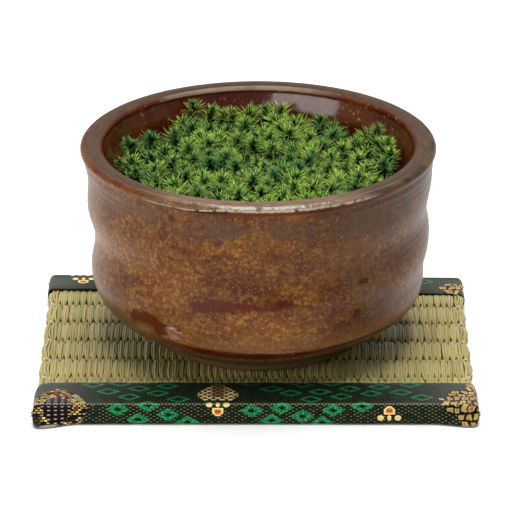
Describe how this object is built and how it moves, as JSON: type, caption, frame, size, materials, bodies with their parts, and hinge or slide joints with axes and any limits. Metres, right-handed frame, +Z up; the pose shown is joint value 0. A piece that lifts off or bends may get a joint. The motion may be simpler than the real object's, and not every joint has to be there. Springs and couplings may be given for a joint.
{
  "type": "moss clump in a tea bowl",
  "caption": "Clump of star-shaped moss shoots planted in a thrown, glazed stoneware tea bowl that stands on a small cloth-bound rush mat.",
  "frame": {"origin": "under the bowl's axis, on the flat underside of the mat", "axes": "+Z up along the bowl's axis, +X along the mat's long bound edges, -Y toward the mat's wider front binding"},
  "size_m": [0.15, 0.1239, 0.0781],
  "materials": {
    "glaze": "satin",
    "earth": "matte",
    "moss": "matte",
    "board": "matte",
    "rush": "satin",
    "brocade": "satin",
    "backing": "matte"
  },
  "bodies": {
    "root": {"bowl": "glaze", "soil": "earth", "moss_left": "moss", "moss_back_left": "moss", "moss_back_right": "moss", "moss_right": "moss", "moss_front_left": "moss", "moss_front_right": "moss", "moss_middle": "moss", "mat_board": "board", "rush_facing": "rush", "binding_front": "brocade", "binding_back": "brocade", "backing_sheet": "backing"}
  },
  "joints": []
}
